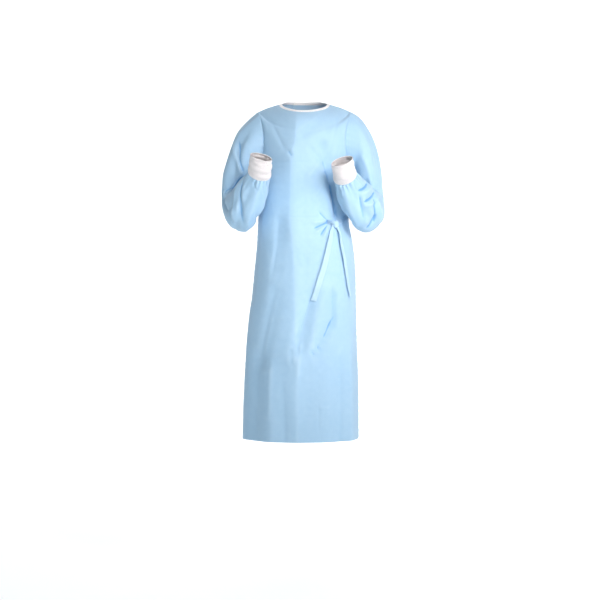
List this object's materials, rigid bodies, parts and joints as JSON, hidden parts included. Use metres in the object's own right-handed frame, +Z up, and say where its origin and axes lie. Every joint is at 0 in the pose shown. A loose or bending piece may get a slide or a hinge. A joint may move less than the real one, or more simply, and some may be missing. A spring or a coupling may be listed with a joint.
{
  "type": "surgical gown",
  "caption": "Full-length wraparound gown with a round bound neck, long set-in sleeves bent at the elbow, knitted cuffs and a waist tie knotted at one side.",
  "frame": {"origin": "middle of the neck opening at the height of the shoulder seams, where the wearer's neck and shoulders hold the gown", "axes": "+Z up along the wearer's body, -Y towards the front of the gown, +X towards the wearer's left"},
  "size_m": [0.5478, 0.4058, 1.1397],
  "materials": {
    "gown_cloth": "matt light-blue nonwoven cloth",
    "tie_cloth": "matt light-blue nonwoven cloth",
    "cuff_knit": "white ribbed knit",
    "neck_binding": "white folded tape"
  },
  "bodies": {
    "root": {"front_panel": "gown_cloth", "back_panel_inner": "gown_cloth", "back_panel_outer": "gown_cloth", "sleeve_left": "gown_cloth", "sleeve_right": "gown_cloth", "cuff_left": "cuff_knit", "cuff_right": "cuff_knit", "neck_binding": "neck_binding", "neck_tab": "neck_binding", "tie_long": "tie_cloth", "tie_short": "tie_cloth", "tie_knot": "tie_cloth", "tie_end_long": "tie_cloth", "tie_end_short": "tie_cloth"}
  },
  "joints": []
}
